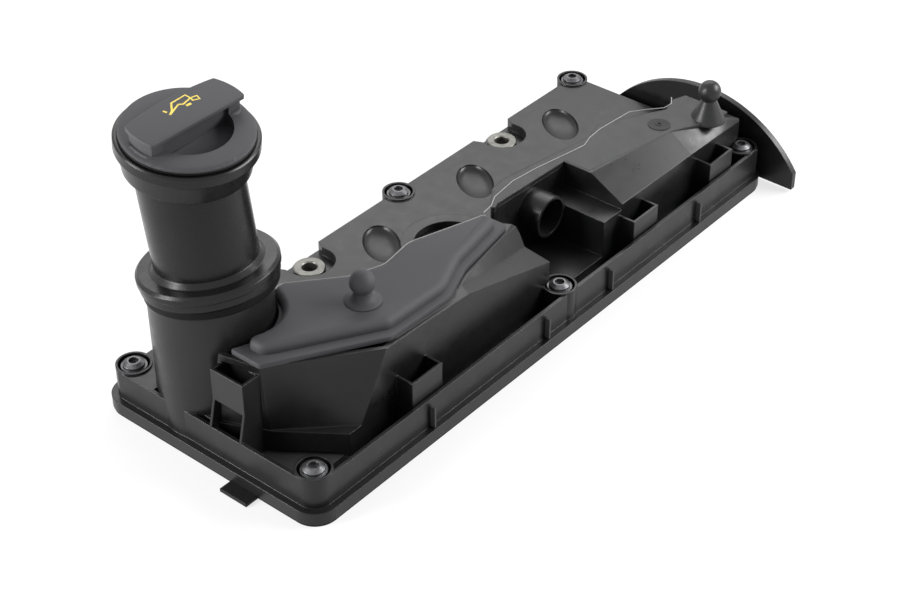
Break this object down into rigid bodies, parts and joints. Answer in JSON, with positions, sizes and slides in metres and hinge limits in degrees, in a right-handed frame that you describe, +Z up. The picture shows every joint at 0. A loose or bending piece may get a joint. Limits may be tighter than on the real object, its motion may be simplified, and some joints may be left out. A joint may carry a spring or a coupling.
{
  "type": "engine valve cover",
  "caption": "Long black plastic cover for an engine's cylinder head, with oil separator chambers, outlet pipe, ball studs and a filler neck with a turning cap.",
  "frame": {"origin": "centre of the cover's bounding box on the underside of its gasket", "axes": "+X along the cover from the filler neck to the timing end, +Y from the chambers' open front side to the back, +Z up out of the engine"},
  "size_m": [0.4292, 0.178, 0.1905],
  "materials": {
    "cover_plastic": "moulded glass-filled black plastic, slightly satin",
    "lid_plastic": "moulded black plastic, fine grain",
    "neck_plastic": "moulded black plastic, satin",
    "cap_plastic": "black plastic with a fine grain",
    "shield_plastic": "moulded black plastic",
    "baffle_plastic": "moulded black plastic",
    "rubber": "moulded rubber",
    "bolt_steel": "dark coated steel",
    "sleeve_steel": "turned steel, dull"
  },
  "bodies": {
    "cover": {"cover_moulding": "cover_plastic", "near_separator_lid": "lid_plastic", "far_separator_lid": "lid_plastic", "regulator_membrane": "rubber", "regulator_cap": "lid_plastic", "perimeter_gasket": "rubber", "compression_sleeve_1": "sleeve_steel", "compression_sleeve_2": "sleeve_steel", "filler_neck": "neck_plastic", "neck_seal": "rubber", "belt_shield": "shield_plastic", "near_baffle_plate": "baffle_plastic", "far_baffle_plate": "baffle_plastic", "bolt_1": "bolt_steel", "bolt_2": "bolt_steel", "bolt_3": "bolt_steel", "bolt_4": "bolt_steel", "bolt_5": "bolt_steel", "bolt_6": "bolt_steel", "bolt_spacer_1": "sleeve_steel", "bolt_spacer_2": "sleeve_steel", "bolt_spacer_3": "sleeve_steel", "bolt_spacer_4": "sleeve_steel", "bolt_spacer_5": "sleeve_steel", "bolt_spacer_6": "sleeve_steel", "bolt_grommet_1": "rubber", "bolt_grommet_2": "rubber", "bolt_grommet_3": "rubber", "bolt_grommet_4": "rubber", "bolt_grommet_5": "rubber", "bolt_grommet_6": "rubber"},
    "cap": {"filler_cap": "cap_plastic", "cap_seal": "rubber"}
  },
  "joints": [
    {"name": "cap_turn", "type": "hinge", "parent": "cover", "child": "cap", "pos_m": [-0.17015, 0.03842, 0.17586], "axis": [0, -0.1305, 0.9914], "range_deg": [0, 90]}
  ]
}
